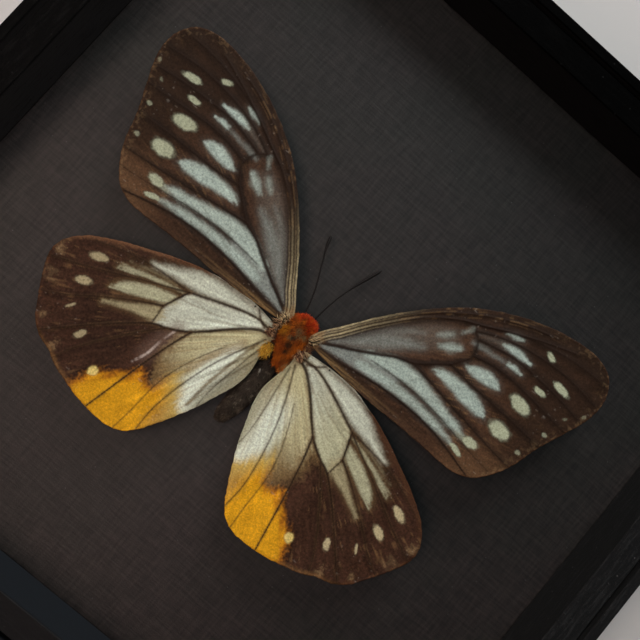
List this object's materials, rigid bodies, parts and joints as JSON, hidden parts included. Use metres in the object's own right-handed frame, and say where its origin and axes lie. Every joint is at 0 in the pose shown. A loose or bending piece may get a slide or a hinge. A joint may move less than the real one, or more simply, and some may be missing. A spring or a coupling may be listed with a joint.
{
  "type": "framed butterfly specimen",
  "caption": "Set butterfly with patterned wings in a shallow black open-fronted box that lies flat on its back.",
  "frame": {"origin": "centre of the box's back face, on the surface that it lies on", "axes": "+Z out of the open front, +Y towards the butterfly's head, +X across its wings to its right side"},
  "size_m": [0.1346, 0.1346, 0.0163],
  "materials": {
    "frame_black": "black paint, matt, with fine grain and lighter worn edges",
    "liner_black": "black paint, matt, with fine grain and dust specks",
    "backing_linen": "dark grey-brown paper with a linen weave",
    "back_board": "plain brown board",
    "forewing": "scaly wing, dark brown with blue-white streaks and cream spots",
    "hindwing": "scaly wing, cream to brown with a yellow-orange patch and cream spots",
    "thorax_fur": "rust-orange hair",
    "head_fur": "orange-red hair",
    "abdomen_fur": "dark grey-brown hair",
    "antenna": "black, slightly glossy"
  },
  "bodies": {
    "root": {"frame_rail_top": "frame_black", "frame_rail_left": "frame_black", "frame_rail_bottom": "frame_black", "frame_rail_right": "frame_black", "liner_top": "liner_black", "liner_left": "liner_black", "liner_bottom": "liner_black", "liner_right": "liner_black", "mount_board": "backing_linen", "back_board": "back_board", "forewing_left": "forewing", "forewing_right": "forewing", "hindwing_left": "hindwing", "hindwing_right": "hindwing", "thorax": "thorax_fur", "head": "head_fur", "abdomen": "abdomen_fur", "antenna_left": "antenna", "antenna_right": "antenna"}
  },
  "joints": []
}
